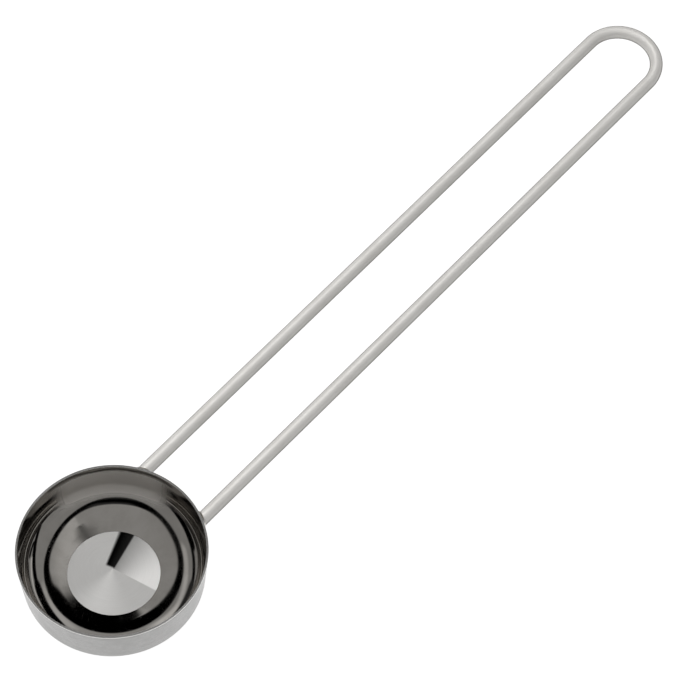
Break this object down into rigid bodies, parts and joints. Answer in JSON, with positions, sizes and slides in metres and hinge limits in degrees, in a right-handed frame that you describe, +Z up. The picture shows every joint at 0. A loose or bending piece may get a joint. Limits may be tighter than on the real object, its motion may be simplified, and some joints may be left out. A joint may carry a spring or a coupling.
{
  "type": "measuring spoon",
  "caption": "Round flat-bottomed steel measuring bowl with a long hairpin wire handle welded under its rim.",
  "frame": {"origin": "centre of the bowl's flat underside", "axes": "+Z up through the bowl's mouth, +X along the handle towards its bend, +Y to the left when looking along the handle"},
  "size_m": [0.2159, 0.044, 0.0132],
  "materials": {
    "bowl_steel": "mirror-polished inside with a circular-brushed floor disc, satin outside",
    "wire_steel": "satin drawn wire",
    "weld_steel": "polished weld"
  },
  "bodies": {
    "root": {"bowl": "bowl_steel", "handle_wire": "wire_steel", "weld_left": "weld_steel", "weld_right": "weld_steel"}
  },
  "joints": []
}
